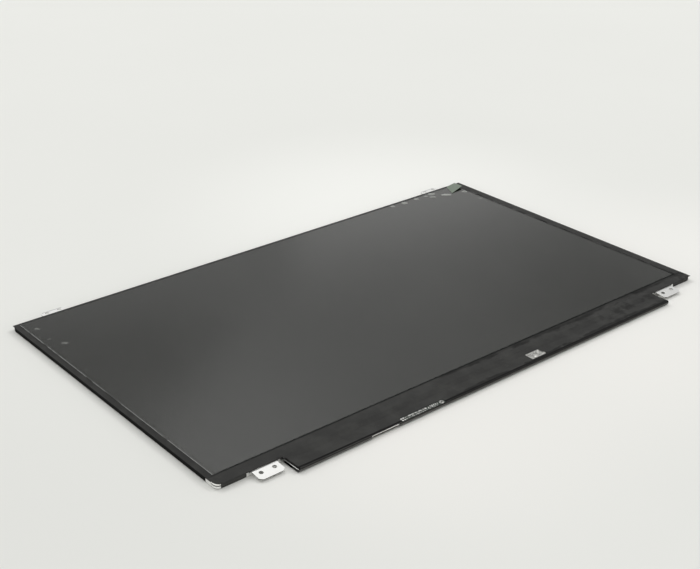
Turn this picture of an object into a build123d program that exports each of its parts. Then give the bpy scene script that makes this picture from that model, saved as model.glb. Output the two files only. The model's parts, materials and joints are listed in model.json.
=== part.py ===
from build123d import *
import os

os.makedirs("parts", exist_ok=True)

# A 15.6-inch laptop screen panel, lying on its back with the screen up.
# X runs along the screen, Y towards its upper edge, Z out of the screen.
# The origin is under the middle of the whole outline, tabs and board strip included.

# Picture area
active_width = 344.2
active_height = 193.6

# Display cell
polariser_margin_x = 2.5
polariser_margin_y = 2.4
glass_margin_side = 1.15
glass_margin_top = 0.8
glass_margin_bottom = 0.9
terminal_ledge = 4.6
front_polariser_thickness = 0.2
glass_thickness = 0.5
rear_polariser_thickness = 0.18

# Backlight stack
reflector_thickness = 0.2
guide_thickness = 0.7
diffuser_thickness = 0.1
prism_thickness = 0.12
rim_tape_thickness = 0.1
guide_margin_x = 1.4
guide_margin_top = 1.2
guide_margin_bottom = 1.8
guide_clearance = 0.3
rim_overlap = 0.9

# Light bar
emitter_count = 40
emitter_width = 3.8
emitter_depth = 1.1
emitter_gap = 0.15
flex_width = 3.1
tail_width = 12.0
tail_from_right_end = 41.9
tail_clearance = 0.4
tail_insertion = 1.6

# Moulded frame
frame_wall_side = 3.27
frame_wall_top = 0.87
frame_wall_bottom = 2.45
frame_lip = 0.42
frame_clearance = 0.1
frame_foot_chamfer = 0.25
cell_clearance = 0.25
post_width = 16.0

# Rear tray
tray_sheet = 0.3
tray_corner_radius = 3.0
tray_bend_radius = 0.5
film_gap_margin = 2.0
film_gap_depth = 0.5

# Corners of the tray: a low wall, a dark gap, and a band of the frame flush above it
corner_relief = 4.9
corner_wall_height = 1.5
corner_gap = 0.5
corner_groove = 0.4

# Snap windows in the tray walls and the hooks in them
window_length = 8.0
window_height = 0.9
window_lift = 0.9
window_pitch_side = 60.0
window_pitch_top = 66.0
window_count_side = 3
window_count_top = 4
hook_clearance = 0.12

# Screw tabs
tab_width = 15.2
tab_from_side = 27.45
bottom_tab_reach = 8.1
bottom_tab_tilt = 6.5
top_tab_reach = 4.9
tab_corner = 1.6
tab_hole_diameter = 2.4
tab_hole_spacing = 8.0
bottom_tab_hole_reach = 3.3
top_tab_hole_reach = 2.5
tab_relief_width = 1.0
tab_relief_depth = 0.7

# Edge tapes
edge_tape = 0.08
tape_gap = 0.15
tape_foot = 0.35
tape_window_margin = 2.6
left_tape_stop = 9.4

# Protective film and its pull tab
film_thickness = 0.06
film_over_left = 1.75
film_short_right = 1.7
film_over_top = 0.3
film_over_bottom = 0.2
pull_tab_thickness = 0.1
pull_tab_lift = 1.4
pull_tab_fold_radius = 5.0
pull_tab_from_right = 3.25
pull_tab_overhang = 1.0
pull_tab_width_back = 10.1
pull_tab_width_front = 15.5
pull_tab_length_right = 10.5
pull_tab_length_left = 13.8
pull_tab_slant_back = 2.0
pull_tab_slant_right = 2.3

# Board strip and its cover film
board_film = 0.1
strip_from_side = 38.5
strip_reach = 13.0
board_inset = 0.15
board_gap = 0.6
board_edge_gap = 0.2
board_thickness = 0.6
board_corner = 0.5
tooling_hole_diameter = 1.6
tooling_hole_inset = 3.5
cover_fold_radius = 0.45
cover_gap = 0.45
cover_left_radius = 0.6
cover_right_radius = 2.4
cover_slope_start = 0.4
cover_slope_run = 4.3
cover_corner_along = 2.6
cover_rear_gap = 0.8
cover_lip_foot = 0.4
component_space = 1.27

# Notch in the cover film with tinned pads
pad_notch_from_left = 67.25
pad_notch_length = 30.4
pad_notch_depth = 2.2
pad_thickness = 0.05
pad_row_inset = 1.1

# Bare sticker on the cover film
sticker_length = 11.1
sticker_width = 5.9
sticker_thickness = 0.06
sticker_from_left = 165.8
sticker_edge_gap = 2.7
sticker_notch_length = 3.2
sticker_notch_width = 1.2

# Driver films and their chips
driver_count = 4
driver_film_thickness = 0.08
driver_width_glass = 38.0
driver_width_board = 31.0
driver_bond_glass = 2.2
driver_bond_board = 2.8
driver_chip_length = 22.0
driver_chip_width = 1.5
driver_chip_height = 0.34

# Video connector
video_from_left = 55.5
video_window_inset = 0.9
video_window_drop = 0.15
video_contact_count = 30
video_pitch = 0.5
video_contact_width = 0.24
video_contact_thickness = 0.1
video_contact_sunk = 0.05
video_contact_set_back = 0.3
video_foot_length = 0.4
video_tail_length = 0.8
video_end_wall = 1.2
video_row_margin = 1.55
video_depth = 4.0
video_height = 1.1
video_roof = 0.3
video_rear_wall = 1.2
video_shell_sheet = 0.14

# Tail connector
tail_socket_margin = 1.6
tail_socket_depth = 3.4
tail_socket_height = 0.95
tail_socket_from_board_edge = 3.8
tail_latch_depth = 1.1
tail_latch_height = 0.25
tail_slot_clearance = 0.04

# Levels of the stack
reflector_z = tray_sheet
guide_z = reflector_z + reflector_thickness
diffuser_z = guide_z + guide_thickness
lower_prism_z = diffuser_z + diffuser_thickness
upper_prism_z = lower_prism_z + prism_thickness
ledge_z = upper_prism_z + prism_thickness
rear_polariser_z = ledge_z + rim_tape_thickness
array_z = rear_polariser_z + rear_polariser_thickness
filter_z = array_z + glass_thickness
cell_top_z = filter_z + glass_thickness
film_z = cell_top_z + front_polariser_thickness
tray_wall_height = cell_top_z - frame_lip

# Places across the panel, from the middle outwards
polariser_half = active_width / 2 + polariser_margin_x
glass_half = polariser_half + glass_margin_side
pocket_half = glass_half + cell_clearance
frame_half = pocket_half + frame_wall_side
tray_half = frame_half + frame_clearance + tray_sheet
panel_half = tray_half + edge_tape
guide_half = active_width / 2 + guide_margin_x
strip_half = panel_half - strip_from_side
board_half = strip_half - board_inset

# Places down the panel, from its upper edge
top_border = (
    edge_tape + tray_sheet + frame_clearance + frame_wall_top
    + cell_clearance + glass_margin_top + polariser_margin_y
)
bottom_border = (
    polariser_margin_y + glass_margin_bottom + terminal_ledge + cell_clearance
    + frame_wall_bottom + frame_clearance + tray_sheet + board_film
)
panel_height = top_border + active_height + bottom_border
top_y = (panel_height + strip_reach - top_tab_reach) / 2
bottom_y = top_y - panel_height
tray_top_y = top_y - edge_tape
tray_bottom_y = bottom_y + board_film
frame_top_y = tray_top_y - tray_sheet - frame_clearance
frame_bottom_y = tray_bottom_y + tray_sheet + frame_clearance
pocket_top_y = frame_top_y - frame_wall_top
pocket_bottom_y = frame_bottom_y + frame_wall_bottom
glass_top_y = pocket_top_y - cell_clearance
array_bottom_y = pocket_bottom_y + cell_clearance
filter_bottom_y = array_bottom_y + terminal_ledge
polariser_top_y = glass_top_y - glass_margin_top
polariser_bottom_y = filter_bottom_y + glass_margin_bottom
active_top_y = polariser_top_y - polariser_margin_y
active_bottom_y = polariser_bottom_y + polariser_margin_y
guide_top_y = active_top_y + guide_margin_top
guide_bottom_y = active_bottom_y - guide_margin_bottom
flex_top_y = guide_bottom_y - emitter_gap
flex_bottom_y = flex_top_y - flex_width
opening_top_y = guide_top_y + guide_clearance
opening_bottom_y = flex_bottom_y - guide_clearance
strip_edge_y = bottom_y - strip_reach
board_top_y = bottom_y - board_gap
board_edge_y = strip_edge_y + board_film + board_edge_gap

# Levels of the board strip
board_top_z = filter_z
board_z = board_top_z - board_thickness
driver_film_top_z = board_top_z + driver_film_thickness
cover_rear_z = board_z - component_space


def save(piece, name):
    piece.part.label = name
    export_step(piece.part, f"parts/{name}.step")


# Rectangle in a sketch, given by its four sides
def area(left, right, low, high, mode=Mode.ADD):
    with Locations(((left + right) / 2, (low + high) / 2)):
        Rectangle(right - left, high - low, mode=mode)


# The same, with its four corners rounded
def rounded_area(left, right, low, high, radius, mode=Mode.ADD):
    with Locations(((left + right) / 2, (low + high) / 2)):
        RectangleRounded(right - left, high - low, radius, mode=mode)


# Solid block, given by its six sides
def block(left, right, low, high, bottom, top, mode=Mode.ADD):
    with Locations(((left + right) / 2, (low + high) / 2, (bottom + top) / 2)):
        Box(right - left, high - low, top - bottom, mode=mode)


# Flat sheet of even thickness, saved as a piece of its own
def save_sheet(name, half_width, low, high, bottom, thickness):
    with BuildPart() as sheet:
        block(-half_width, half_width, low, high, bottom, bottom + thickness)
    save(sheet, name)


# Tape or film on the outside of the tray's wall, round its corners too, inside a rectangle
def wall_skin(left, right, low, high, foot, top):
    with BuildSketch(Plane.XY.offset(foot)) as skin:
        rounded_area(-panel_half, panel_half, bottom_y, top_y, tray_corner_radius + edge_tape)
        rounded_area(
            -tray_half, tray_half, tray_bottom_y, tray_top_y, tray_corner_radius, Mode.SUBTRACT,
        )
        area(left, right, low, high, Mode.INTERSECT)
    extrude(skin.sketch, amount=top - foot)


# What is left of a sketch is its four corners, each of the given reach
def keep_corners(half_width, low, high, reach):
    area(-half_width + reach, half_width - reach, low, high, Mode.SUBTRACT)
    area(-half_width, half_width, low + reach, high - reach, Mode.SUBTRACT)


# Middle of each snap window: x, y, and whether the wall runs along X
side_window_y = [
    (tray_top_y + tray_bottom_y) / 2 + window_pitch_side * (i - (window_count_side - 1) / 2)
    for i in range(window_count_side)
]
top_window_x = [
    window_pitch_top * (i - (window_count_top - 1) / 2) for i in range(window_count_top)
]
window_middle_z = tray_sheet + window_lift + window_height / 2
tab_x = panel_half - tab_from_side
tail_x = board_half - tail_from_right_end

# Rear tray, drawn from one sheet with the four screw tabs bent out of its walls
with BuildPart() as rear_tray:
    with BuildSketch():
        rounded_area(-tray_half, tray_half, tray_bottom_y, tray_top_y, tray_corner_radius)
    extrude(amount=tray_wall_height)
    fillet(rear_tray.faces().sort_by(Axis.Z)[0].edges(), tray_bend_radius)
    offset(amount=-tray_sheet, openings=rear_tray.faces().sort_by(Axis.Z)[-1])
    # Low stretch of the lower wall, under the driver films
    block(
        -strip_half + film_gap_margin, strip_half - film_gap_margin,
        tray_bottom_y - tray_sheet, tray_bottom_y + 2 * tray_sheet,
        tray_wall_height - film_gap_depth, tray_wall_height + film_gap_depth, Mode.SUBTRACT,
    )
    # Way out for the light bar's tail
    block(
        tail_x - tail_width / 2 - tail_clearance, tail_x + tail_width / 2 + tail_clearance,
        tray_bottom_y - tray_sheet, tray_bottom_y + 2 * tray_sheet,
        tray_sheet, guide_z + tail_clearance, Mode.SUBTRACT,
    )
    # Snap windows
    with Locations(*[(x, y, window_middle_z) for x in (-tray_half, tray_half) for y in side_window_y]):
        Box(4 * tray_sheet, window_length, window_height, mode=Mode.SUBTRACT)
    with Locations(*[(x, tray_top_y, window_middle_z) for x in top_window_x]):
        Box(window_length, 4 * tray_sheet, window_height, mode=Mode.SUBTRACT)
    # Low walls at the four corners
    with Locations((0, (tray_bottom_y + tray_top_y) / 2, tray_wall_height)):
        with GridLocations(2 * tray_half, tray_top_y - tray_bottom_y, 2, 2):
            Box(
                2 * corner_relief, 2 * corner_relief, 2 * (tray_wall_height - corner_wall_height),
                mode=Mode.SUBTRACT,
            )
    # Relief cuts on both sides of each tab
    relief_x = [
        side * tab_x + edge * (tab_width + tab_relief_width) / 2 for side in (-1, 1) for edge in (-1, 1)
    ]
    with Locations(*[(x, y, tray_wall_height) for x in relief_x for y in (tray_bottom_y, tray_top_y)]):
        Box(tab_relief_width, 4 * tray_sheet, 2 * tab_relief_depth, mode=Mode.SUBTRACT)
    # Two tabs on the lower wall, bent down a little, and two level ones on the upper wall.
    # Each sketch is on the tabs' upper face, and its Y starts at the inside of the wall.
    lower_root = Plane((0, tray_bottom_y + tray_sheet, tray_wall_height)).rotated((bottom_tab_tilt, 0, 0))
    upper_root = Plane((0, tray_top_y - tray_sheet, tray_wall_height))
    lower_skin = board_film + tray_sheet
    upper_skin = edge_tape + tray_sheet
    for root, side, skin, reach, hole_reach in (
        (lower_root, -1, lower_skin, bottom_tab_reach, bottom_tab_hole_reach),
        (upper_root, 1, upper_skin, top_tab_reach, top_tab_hole_reach),
    ):
        with BuildSketch(root) as tabs:
            for x in (-tab_x, tab_x):
                area(x - tab_width / 2, x + tab_width / 2, *sorted((0, side * (skin + reach))))
            chamfer(tabs.vertices().group_by(Axis.Y)[0 if side < 0 else -1], tab_corner)
            with Locations(*[(x, side * (skin + hole_reach)) for x in (-tab_x, tab_x)]):
                with GridLocations(tab_hole_spacing, 0, 2, 1):
                    Circle(tab_hole_diameter / 2, mode=Mode.SUBTRACT)
        extrude(amount=-tray_sheet)
save(rear_tray, "rear_tray")

# Moulded frame: a ledge for the cell, walls round it, and a lip over the tray's edge
with BuildPart() as mould_frame:
    inner_radius = tray_corner_radius - tray_sheet - frame_clearance
    opening_half = guide_half + guide_clearance
    with BuildSketch(Plane.XY.offset(tray_sheet)):
        rounded_area(-frame_half, frame_half, frame_bottom_y, frame_top_y, inner_radius)
    extrude(amount=tray_wall_height - tray_sheet)
    chamfer(mould_frame.faces().sort_by(Axis.Z)[0].edges(), frame_foot_chamfer)
    with BuildSketch(Plane.XY.offset(tray_wall_height)):
        rounded_area(-tray_half, tray_half, tray_bottom_y, tray_top_y, tray_corner_radius)
    extrude(amount=frame_lip)
    # Bands at the corners, flush with the tray, and a groove between each and the low wall
    with BuildSketch(Plane.XY.offset(corner_wall_height + corner_gap)):
        rounded_area(-tray_half, tray_half, tray_bottom_y, tray_top_y, tray_corner_radius)
        keep_corners(tray_half, tray_bottom_y, tray_top_y, corner_relief - frame_clearance)
    extrude(amount=tray_wall_height - corner_wall_height - corner_gap)
    with BuildSketch(Plane.XY.offset(corner_wall_height)):
        rounded_area(-frame_half, frame_half, frame_bottom_y, frame_top_y, inner_radius)
        rounded_area(
            -frame_half + corner_groove, frame_half - corner_groove,
            frame_bottom_y + corner_groove, frame_top_y - corner_groove,
            inner_radius - corner_groove, Mode.SUBTRACT,
        )
        keep_corners(tray_half, tray_bottom_y, tray_top_y, corner_relief - frame_clearance)
    extrude(amount=corner_gap, mode=Mode.SUBTRACT)
    # Pocket of the cell, and the light opening below it
    block(
        -pocket_half, pocket_half, pocket_bottom_y, pocket_top_y, ledge_z, cell_top_z, Mode.SUBTRACT,
    )
    block(
        -opening_half, opening_half, opening_bottom_y, opening_top_y, tray_sheet, ledge_z, Mode.SUBTRACT,
    )
    # Low stretch under the driver films, with posts left between them
    block(
        -strip_half, strip_half, tray_bottom_y, pocket_bottom_y, filter_z, cell_top_z, Mode.SUBTRACT,
    )
    block(
        -strip_half, strip_half, tray_bottom_y, frame_bottom_y, tray_sheet, cell_top_z, Mode.SUBTRACT,
    )
    driver_pitch = 2 * strip_half / driver_count
    post_x = [driver_pitch * (i - driver_count / 2) for i in range(1, driver_count)]
    for x in post_x:
        block(
            x - post_width / 2, x + post_width / 2, frame_bottom_y, pocket_bottom_y, filter_z, cell_top_z,
        )
    # Tunnel for the light bar's tail
    block(
        tail_x - tail_width / 2 - tail_clearance, tail_x + tail_width / 2 + tail_clearance,
        frame_bottom_y, opening_bottom_y, tray_sheet, guide_z + tail_clearance, Mode.SUBTRACT,
    )
    # Hooks in the tray's snap windows
    hook_length = window_length - 2 * hook_clearance
    hook_height = window_height - 2 * hook_clearance
    hook_depth = 2 * (tray_sheet + frame_clearance - hook_clearance)
    with Locations(*[(x, y, window_middle_z) for x in (-frame_half, frame_half) for y in side_window_y]):
        Box(hook_depth, hook_length, hook_height)
    with Locations(*[(x, frame_top_y, window_middle_z) for x in top_window_x]):
        Box(hook_length, hook_depth, hook_height)
save(mould_frame, "mould_frame")

# Backlight sheets, from the tray up
save_sheet("reflector_sheet", guide_half, guide_bottom_y, guide_top_y, reflector_z, reflector_thickness)
save_sheet("light_guide", guide_half, guide_bottom_y, guide_top_y, guide_z, guide_thickness)
save_sheet("diffuser_sheet", guide_half, guide_bottom_y, guide_top_y, diffuser_z, diffuser_thickness)
save_sheet("lower_prism_sheet", guide_half, guide_bottom_y, guide_top_y, lower_prism_z, prism_thickness)
save_sheet("upper_prism_sheet", guide_half, guide_bottom_y, guide_top_y, upper_prism_z, prism_thickness)

# Flexible strip of the light bar, with a tail that climbs to the board's socket
socket_top_y = board_top_y - tail_socket_from_board_edge
tail_slot_z = board_z - tail_socket_height / 2
with BuildPart() as led_flex:
    block(
        -guide_half, guide_half, flex_bottom_y, flex_top_y, reflector_z, reflector_z + reflector_thickness,
    )
    with BuildSketch(Plane.YZ.offset(tail_x)):
        with BuildLine() as tail_path:
            Polyline(
                (flex_bottom_y, reflector_z),
                (bottom_y, reflector_z),
                (socket_top_y + tail_insertion / 2, tail_slot_z),
                (socket_top_y - tail_insertion, tail_slot_z),
            )
            offset(amount=reflector_thickness, side=Side.RIGHT)
        make_face()
    extrude(amount=tail_width / 2, both=True)
save(led_flex, "led_flex")

# Light emitters, facing the lower edge of the light guide
emitter_pitch = 2 * guide_half / emitter_count
with BuildPart() as light_emitters:
    with Locations((0, flex_top_y - emitter_depth / 2, guide_z + guide_thickness / 2)):
        with GridLocations(emitter_pitch, 0, emitter_count, 1):
            Box(emitter_width, emitter_depth, guide_thickness)
save(light_emitters, "light_emitters")

# Ring of black tape between the frame's ledge and the cell
with BuildPart() as rim_tape:
    with BuildSketch(Plane.XY.offset(ledge_z)):
        area(-glass_half, glass_half, array_bottom_y, glass_top_y)
        area(
            -active_width / 2 - rim_overlap, active_width / 2 + rim_overlap,
            active_bottom_y - rim_overlap, active_top_y + rim_overlap, Mode.SUBTRACT,
        )
    extrude(amount=rim_tape_thickness)
save(rim_tape, "rim_tape")

# Display cell: two glasses between two polarisers, the lower glass with a terminal ledge
save_sheet(
    "rear_polariser", polariser_half, polariser_bottom_y, polariser_top_y,
    rear_polariser_z, rear_polariser_thickness,
)
save_sheet("array_glass", glass_half, array_bottom_y, glass_top_y, array_z, glass_thickness)
save_sheet("colour_filter_glass", glass_half, filter_bottom_y, glass_top_y, filter_z, glass_thickness)
save_sheet(
    "front_polariser", polariser_half, polariser_bottom_y, polariser_top_y,
    cell_top_z, front_polariser_thickness,
)

# Clear film over the screen, laid a little to the left of it
film_left = -polariser_half - film_over_left
film_right = polariser_half - film_short_right
with BuildPart() as protective_film:
    block(
        film_left, film_right, polariser_bottom_y - film_over_bottom, polariser_top_y + film_over_top,
        film_z, film_z + film_thickness,
    )
save(protective_film, "protective_film")

# Pull tab: stuck down along its back, with the front right corner bent up off the screen.
# The fold lies on the line between the other two corners.
pull_z = film_z + film_thickness
pull_right = panel_half - pull_tab_from_right
pull_back_y = top_y + pull_tab_overhang
with BuildPart() as pull_tab:
    back_right = Vector(pull_right, pull_back_y)
    back_left = back_right - Vector(pull_tab_width_back, pull_tab_slant_back)
    front_left = back_right - Vector(pull_tab_width_front, pull_tab_length_left)
    front_right = back_right - Vector(pull_tab_slant_right, pull_tab_length_right)
    crease = front_left - back_right
    across_crease = Vector(-crease.Y, crease.X).normalized()
    free_reach = (front_right - back_right).dot(across_crease)
    stuck_reach = (back_left - back_right).dot(across_crease)
    start = Vector(pull_right, pull_back_y, pull_z)
    with BuildSketch(Plane(start, x_dir=across_crease, z_dir=crease)):
        with BuildLine():
            FilletPolyline(
                (stuck_reach, 0), (0, 0), (free_reach, pull_tab_lift), radius=pull_tab_fold_radius,
            )
            offset(amount=pull_tab_thickness, side=Side.LEFT)
        make_face()
    extrude(amount=crease.length)
    with BuildSketch():
        with BuildLine():
            Polyline(back_right, back_left, front_left, front_right, close=True)
        make_face()
    extrude(amount=2 * (pull_z + pull_tab_lift), mode=Mode.INTERSECT)
save(pull_tab, "pull_tab")

# Side tapes: over the frame's rim and down the wall of the tray, round its upper corners.
# The left one stops short of the lower corner and only covers the frame's lip from there.
tape_top_z = cell_top_z + edge_tape
tape_half = polariser_half + tape_gap
cover_top_y = polariser_bottom_y - film_over_bottom - cover_gap
for name, side, stop in (("left_edge_tape", -1, left_tape_stop), ("right_edge_tape", 1, 0)):
    with BuildPart() as side_tape:
        edges = sorted((side * tape_half, side * panel_half))
        skirt_low = max(bottom_y + stop, cover_top_y)
        block(*edges, cover_top_y, top_y, cell_top_z, tape_top_z)
        wall_skin(*edges, skirt_low, top_y, tape_foot, cell_top_z)
        if skirt_low > cover_top_y:
            wall_skin(*edges, cover_top_y, skirt_low, tray_wall_height, cell_top_z)
    save(side_tape, name)

# Upper tape, cut away round the two tabs
with BuildPart() as top_edge_tape:
    block(-tape_half, tape_half, polariser_top_y + tape_gap, top_y, cell_top_z, tape_top_z)
    wall_skin(-tape_half, tape_half, tray_top_y, top_y, tape_foot, cell_top_z)
    window_half = tab_width / 2 + tape_window_margin
    for side in (-1, 1):
        block(
            side * tab_x - window_half, side * tab_x + window_half,
            tray_top_y, top_y, tape_foot, tray_wall_height, Mode.SUBTRACT,
        )
save(top_edge_tape, "top_edge_tape")

# Black film from the screen's lower edge over the driver films and round the board
with BuildPart() as board_cover_film:
    fold_y = strip_edge_y + board_film
    slope_y = bottom_y + cover_slope_start
    with BuildSketch(Plane.YZ):
        with BuildLine() as fold:
            FilletPolyline(
                (cover_top_y, cell_top_z),
                (slope_y, cell_top_z),
                (slope_y - cover_slope_run, driver_film_top_z),
                (fold_y, driver_film_top_z),
                (fold_y, cover_rear_z),
                (bottom_y - cover_rear_gap, cover_rear_z),
                radius=cover_fold_radius,
            )
            offset(amount=board_film, side=Side.RIGHT)
        make_face()
    extrude(amount=strip_half, both=True)
    # Rounded ends of the strip
    with BuildSketch() as strip_outline:
        area(-strip_half, strip_half, strip_edge_y, cover_top_y)
        front_corners = strip_outline.vertices().group_by(Axis.Y)[0].sort_by(Axis.X)
        fillet(front_corners[0], cover_left_radius)
        fillet(front_corners[-1], cover_right_radius)
    extrude(amount=cell_top_z + board_film, mode=Mode.INTERSECT)
    # Bands to both lower corners, the left one cut round where the frame and the metal show
    bare_x = -panel_half + cover_corner_along
    bare_y = bottom_y + corner_relief
    with BuildSketch(Plane.XY.offset(cell_top_z)):
        area(-panel_half, -strip_half, bottom_y, cover_top_y)
        area(strip_half, panel_half, bottom_y, cover_top_y)
        with BuildLine():
            cut = EllipticalCenterArc(
                (bare_x, bare_y), cover_corner_along, corner_relief, start_angle=180, arc_size=90,
            )
            Polyline(cut @ 1, (-panel_half, bottom_y), cut @ 0)
        make_face(mode=Mode.SUBTRACT)
    extrude(amount=board_film)
    # Lips down the wall of the tray beside the tabs, round the right corner but not the left one
    lip_inner = tab_x + tab_width / 2 + tape_window_margin
    wall_skin(bare_x, -lip_inner, bottom_y, bare_y, cover_lip_foot, cell_top_z)
    wall_skin(lip_inner, panel_half, bottom_y, cover_top_y, cover_lip_foot, cell_top_z)
    # Short lips over the frame's lip alone, above the tabs and above the bare left wall
    wall_skin(-lip_inner, -strip_half, bottom_y, bare_y, tray_wall_height, cell_top_z)
    wall_skin(strip_half, lip_inner, bottom_y, bare_y, tray_wall_height, cell_top_z)
    wall_skin(-panel_half, bare_x, bare_y, cover_top_y, tray_wall_height, cell_top_z)
    # Notch that bares the row of pads
    notch_left = -strip_half + pad_notch_from_left
    block(
        notch_left, notch_left + pad_notch_length, strip_edge_y, strip_edge_y + pad_notch_depth,
        board_top_z, cell_top_z, Mode.SUBTRACT,
    )
    # Way into the video connector, open at the edge and on the rear
    video_x = -strip_half + video_from_left
    video_half = video_pitch * (video_contact_count - 1) / 2 + video_row_margin + video_end_wall
    window_half = video_half - video_window_inset
    block(
        video_x - window_half, video_x + window_half,
        strip_edge_y, board_edge_y + video_depth + video_tail_length,
        cover_rear_z - board_film, board_top_z - video_window_drop, Mode.SUBTRACT,
    )
    # Room for the light bar's tail
    block(
        tail_x - tail_width / 2 - tail_clearance, tail_x + tail_width / 2 + tail_clearance,
        socket_top_y, bottom_y, cover_rear_z - board_film, cover_rear_z, Mode.SUBTRACT,
    )
save(board_cover_film, "board_cover_film")

# Control board
with BuildPart() as control_board:
    with BuildSketch(Plane.XY.offset(board_z)) as board_outline:
        area(-board_half, board_half, board_edge_y, board_top_y)
        board_ends = board_outline.vertices().group_by(Axis.X)
        fillet(board_ends[0], board_corner)
        fillet(board_ends[-1], cover_right_radius)
        tooling_x = board_half - tooling_hole_inset
        with Locations(*[(x, board_edge_y + tooling_hole_inset) for x in (-tooling_x, tooling_x)]):
            Circle(tooling_hole_diameter / 2, mode=Mode.SUBTRACT)
    extrude(amount=board_thickness)
save(control_board, "control_board")

# Tinned pads in the notch: a pair, a row of fingers, a pair, a zigzag of dots and a ring
pair_pad = 1.1
pair_gap = 0.35
finger_length = 1.3
finger_width = 0.4
finger_pitch = 0.8
finger_count = 14
dot_pad = 0.6
dot_pitch = 1.25
dot_zigzag = 0.35
dot_pair_count = 3
ring_diameter = 2.0
ring_hole = 0.9
with BuildPart() as edge_pads:
    row_y = board_edge_y + pad_row_inset
    with BuildSketch(Plane.XY.offset(board_top_z)):
        pair_step = pair_pad + pair_gap
        first_pair_x = notch_left + pair_step
        fingers_length = finger_pitch * finger_count
        fingers_x = first_pair_x + pair_step + fingers_length / 2
        second_pair_x = fingers_x + fingers_length / 2 + pair_step
        dots_x = second_pair_x + pair_step + dot_pitch * dot_pair_count
        ring_x = notch_left + pad_notch_length - ring_diameter
        with Locations((first_pair_x, row_y), (second_pair_x, row_y)):
            with GridLocations(pair_step, 0, 2, 1):
                Rectangle(pair_pad, pair_pad)
        with Locations((fingers_x, row_y)):
            with GridLocations(finger_pitch, 0, finger_count, 1):
                Rectangle(finger_width, finger_length)
        for side in (-1, 1):
            with Locations((dots_x + side * dot_pitch / 2, row_y + side * dot_zigzag)):
                with GridLocations(2 * dot_pitch, 0, dot_pair_count, 1):
                    Rectangle(dot_pad, dot_pad)
        with Locations((ring_x, row_y)):
            Circle(ring_diameter / 2)
            Circle(ring_hole / 2, mode=Mode.SUBTRACT)
    extrude(amount=pad_thickness)
save(edge_pads, "edge_pads")

# Bare sticker with a cut corner
with BuildPart() as board_sticker:
    sticker_left = -strip_half + sticker_from_left
    sticker_low = strip_edge_y + sticker_edge_gap
    with BuildSketch(Plane.XY.offset(driver_film_top_z + board_film)):
        area(sticker_left, sticker_left + sticker_length, sticker_low, sticker_low + sticker_width)
        area(
            sticker_left + sticker_length - sticker_notch_length, sticker_left + sticker_length,
            sticker_low + sticker_width - sticker_notch_width, sticker_low + sticker_width, Mode.SUBTRACT,
        )
    extrude(amount=sticker_thickness)
save(board_sticker, "board_sticker")

# Driver films from the glass to the board, each with a long thin chip
for i in range(driver_count):
    x = driver_pitch * (i - (driver_count - 1) / 2)
    with BuildPart() as driver_film:
        with BuildSketch(Plane.XY.offset(filter_z)):
            with BuildLine():
                Polyline(
                    (x - driver_width_glass / 2, array_bottom_y + driver_bond_glass),
                    (x + driver_width_glass / 2, array_bottom_y + driver_bond_glass),
                    (x + driver_width_glass / 2, pocket_bottom_y),
                    (x + driver_width_board / 2, board_top_y),
                    (x + driver_width_board / 2, board_top_y - driver_bond_board),
                    (x - driver_width_board / 2, board_top_y - driver_bond_board),
                    (x - driver_width_board / 2, board_top_y),
                    (x - driver_width_glass / 2, pocket_bottom_y),
                    close=True,
                )
            make_face()
        extrude(amount=driver_film_thickness)
    save(driver_film, f"driver_film_{i + 1}")
    with BuildPart() as driver_chip:
        chip_top_y = pocket_bottom_y
        block(
            x - driver_chip_length / 2, x + driver_chip_length / 2,
            chip_top_y - driver_chip_width, chip_top_y,
            driver_film_top_z, driver_film_top_z + driver_chip_height,
        )
    save(driver_chip, f"driver_chip_{i + 1}")

# Parts under the board. Each stands near the video connector, the board's middle or the tail's
# socket, at a height from the board's outer edge, and is measured along the board, across and down.
chips = {
    "inlet_fuse": (video_x - 16.8, 6.0, 3.2, 1.6, 0.7),
    "power_regulator": (video_x + 20.0, 6.2, 4.0, 4.0, 0.8),
    "step_down_inductor": (video_x + 26.5, 6.2, 4.0, 4.0, 1.1),
    "timing_controller": (-30.2, 6.2, 8.0, 8.0, 0.85),
    "memory_chip": (-15.2, 6.2, 3.0, 4.4, 0.9),
    "level_shifter": (17.8, 6.2, 5.0, 5.0, 0.85),
    "backlight_driver": (tail_x - 31.4, 6.2, 4.0, 4.0, 0.8),
    "boost_inductor": (tail_x - 23.9, 6.2, 5.4, 5.4, 1.15),
    "boost_diode": (tail_x - 16.4, 6.2, 3.6, 1.8, 0.9),
}
for name, (x, across, length, width, height) in chips.items():
    with BuildPart() as chip:
        y = board_edge_y + across
        block(x - length / 2, x + length / 2, y - width / 2, y + width / 2, board_z - height, board_z)
        corner_edges = chip.edges().filter_by(Axis.Z)
        chamfer(corner_edges, min(length, width) / 10)
    save(chip, name)

# Two rows of small capacitors, and two of smaller resistors
passive_pitch = 3.2
passive_rows_apart = 4.0
passive_middle = 6.2
capacitor_count = 8
resistor_count = 9
groups = {
    "chip_capacitors": (34.9, capacitor_count, 2.0, 1.25, 0.85),
    "chip_resistors": (0.3, resistor_count, 1.0, 0.5, 0.35),
}
for name, (x, count, length, width, height) in groups.items():
    with BuildPart() as passives:
        with Locations((x, board_edge_y + passive_middle, board_z - height / 2)):
            with GridLocations(passive_pitch, passive_rows_apart, count, 2):
                Box(length, width, height)
    save(passives, name)

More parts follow.
